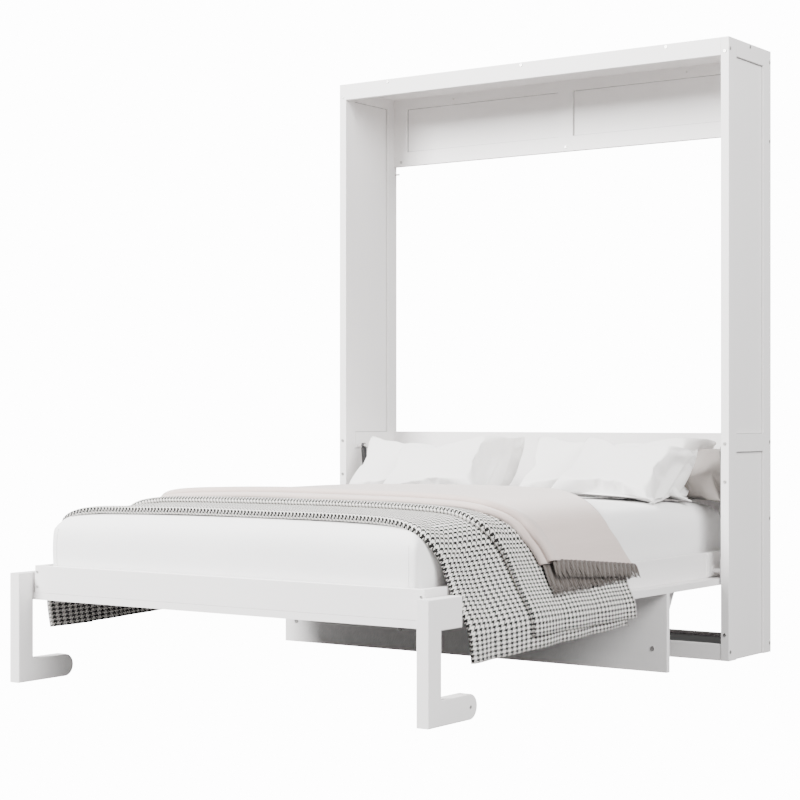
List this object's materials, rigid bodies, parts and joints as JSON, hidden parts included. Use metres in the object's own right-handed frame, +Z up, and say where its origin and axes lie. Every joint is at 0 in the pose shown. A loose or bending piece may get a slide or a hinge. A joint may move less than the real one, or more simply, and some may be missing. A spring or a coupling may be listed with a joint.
{
  "type": "wall bed",
  "caption": "Fold-down wall bed in a white open-backed cabinet, with C-shaped swing legs, gas struts, a fold-out shelf board, mattress, pillows and two throws.",
  "frame": {"origin": "on the floor at the wall, midway between the cabinet's sides", "axes": "+Y into the wall, +Z up, +X to the right as one faces the wall; the bed opens towards -Y"},
  "size_m": [1.636, 2.073, 2.096],
  "materials": {
    "beige_throw": "greige wool with dark fringe",
    "brass_bush": "turned",
    "dark_board": "matte black laminate",
    "houndstooth_throw": "black and off-white woven check",
    "mattress_cover": "smooth white knit",
    "pillow_cotton": "ivory cotton",
    "polished_rod": "polished",
    "slat_wood": "clear-coated poplar",
    "steel": "brushed",
    "strut_paint": "semi-gloss black",
    "taupe_pillow": "taupe cotton with dark piping",
    "white_paint": "satin white paint",
    "white_steel": "satin white powder coat",
    "zinc_bolts": "zinc plated"
  },
  "bodies": {
    "cabinet": {"base_panel": "dark_board", "cabinet_bolts": "zinc_bolts", "fascia_rail": "white_paint", "headboard_panel": "white_paint", "kick_rail": "white_paint", "left_front_post": "white_paint", "left_lower_infill": "white_paint", "left_pivot_bush": "brass_bush", "left_pivot_plate": "steel", "left_rear_stile": "white_paint", "left_side_mid_rail": "white_paint", "left_side_top_rail": "white_paint", "left_upper_infill": "white_paint", "rear_base_rail": "white_paint", "right_front_post": "white_paint", "right_lower_infill": "white_paint", "right_pivot_bush": "brass_bush", "right_pivot_plate": "steel", "right_rear_stile": "white_paint", "right_side_mid_rail": "white_paint", "right_side_top_rail": "white_paint", "right_upper_infill": "white_paint", "strut_upper_brackets": "white_steel", "top_panel": "white_paint", "valance_infills": "white_paint", "valance_rails": "white_paint", "valance_stiles": "white_paint"},
    "bed": {"bed_bolts": "zinc_bolts", "beige_throw": "beige_throw", "centre_beam": "white_paint", "foot_rail": "white_paint", "front_panel": "white_paint", "head_rail": "white_paint", "houndstooth_throw": "houndstooth_throw", "left_back_pillow": "pillow_cotton", "left_bed_pivot_plate": "steel", "left_front_pillow": "pillow_cotton", "left_leg_bolt": "zinc_bolts", "left_pivot_pin": "steel", "left_side_rail": "white_paint", "mattress": "mattress_cover", "right_back_pillow": "pillow_cotton", "right_bed_pivot_plate": "steel", "right_front_pillow": "pillow_cotton", "right_leg_bolt": "zinc_bolts", "right_pivot_pin": "steel", "right_side_rail": "white_paint", "slat_cleats": "white_paint", "slats": "slat_wood", "support_board": "white_paint", "support_braces": "white_paint", "taupe_pillow": "taupe_pillow"},
    "left_leg": {"left_foot_bolt": "zinc_bolts", "left_leg": "white_paint"},
    "right_leg": {"right_foot_bolt": "zinc_bolts", "right_leg": "white_paint"},
    "left_cylinder": {"left_strut_cylinder": "strut_paint"},
    "right_cylinder": {"right_strut_cylinder": "strut_paint"},
    "left_rod": {"left_strut_rod": "polished_rod"},
    "right_rod": {"right_strut_rod": "polished_rod"}
  },
  "joints": [
    {"name": "bed_fold", "type": "hinge", "parent": "cabinet", "child": "bed", "pos_m": [0, -0.294, 0.3], "axis": [-1, 0, 0], "range_deg": [0, 90], "deforming": ["left_back_pillow", "left_front_pillow", "right_back_pillow", "right_front_pillow", "taupe_pillow", "houndstooth_throw", "beige_throw"]},
    {"name": "left_leg_swing", "type": "hinge", "parent": "bed", "child": "left_leg", "pos_m": [-0.7633, -1.95, 0.2955], "axis": [1, 0, 0], "range_deg": [0, 90]},
    {"name": "left_strut_swing", "type": "hinge", "parent": "cabinet", "child": "left_cylinder", "pos_m": [-0.757, -0.262, 0.712], "axis": [-1, 0, 0], "range_deg": [0, 7.6]},
    {"name": "left_strut_slide", "type": "slide", "parent": "left_cylinder", "child": "left_rod", "axis": [0, 0.1348, -0.9909], "range_m": [0, 0.1142]},
    {"name": "right_leg_swing", "type": "hinge", "parent": "bed", "child": "right_leg", "pos_m": [0.7633, -1.95, 0.2955], "axis": [1, 0, 0], "range_deg": [0, 90]},
    {"name": "right_strut_swing", "type": "hinge", "parent": "cabinet", "child": "right_cylinder", "pos_m": [0.757, -0.262, 0.712], "axis": [-1, 0, 0], "range_deg": [0, 7.6]},
    {"name": "right_strut_slide", "type": "slide", "parent": "right_cylinder", "child": "right_rod", "axis": [0, 0.1348, -0.9909], "range_m": [0, 0.1142]}
  ],
  "couplings": [
    {"joint": "left_leg_swing", "follows": "bed_fold", "ratio": 1},
    {"joint": "left_strut_swing", "follows": "bed_fold", "ratio": 0.083849},
    {"joint": "left_strut_slide", "follows": "bed_fold", "m_per_rad": 0.072372},
    {"joint": "right_leg_swing", "follows": "bed_fold", "ratio": 1},
    {"joint": "right_strut_swing", "follows": "bed_fold", "ratio": 0.083849},
    {"joint": "right_strut_slide", "follows": "bed_fold", "m_per_rad": 0.072372}
  ]
}
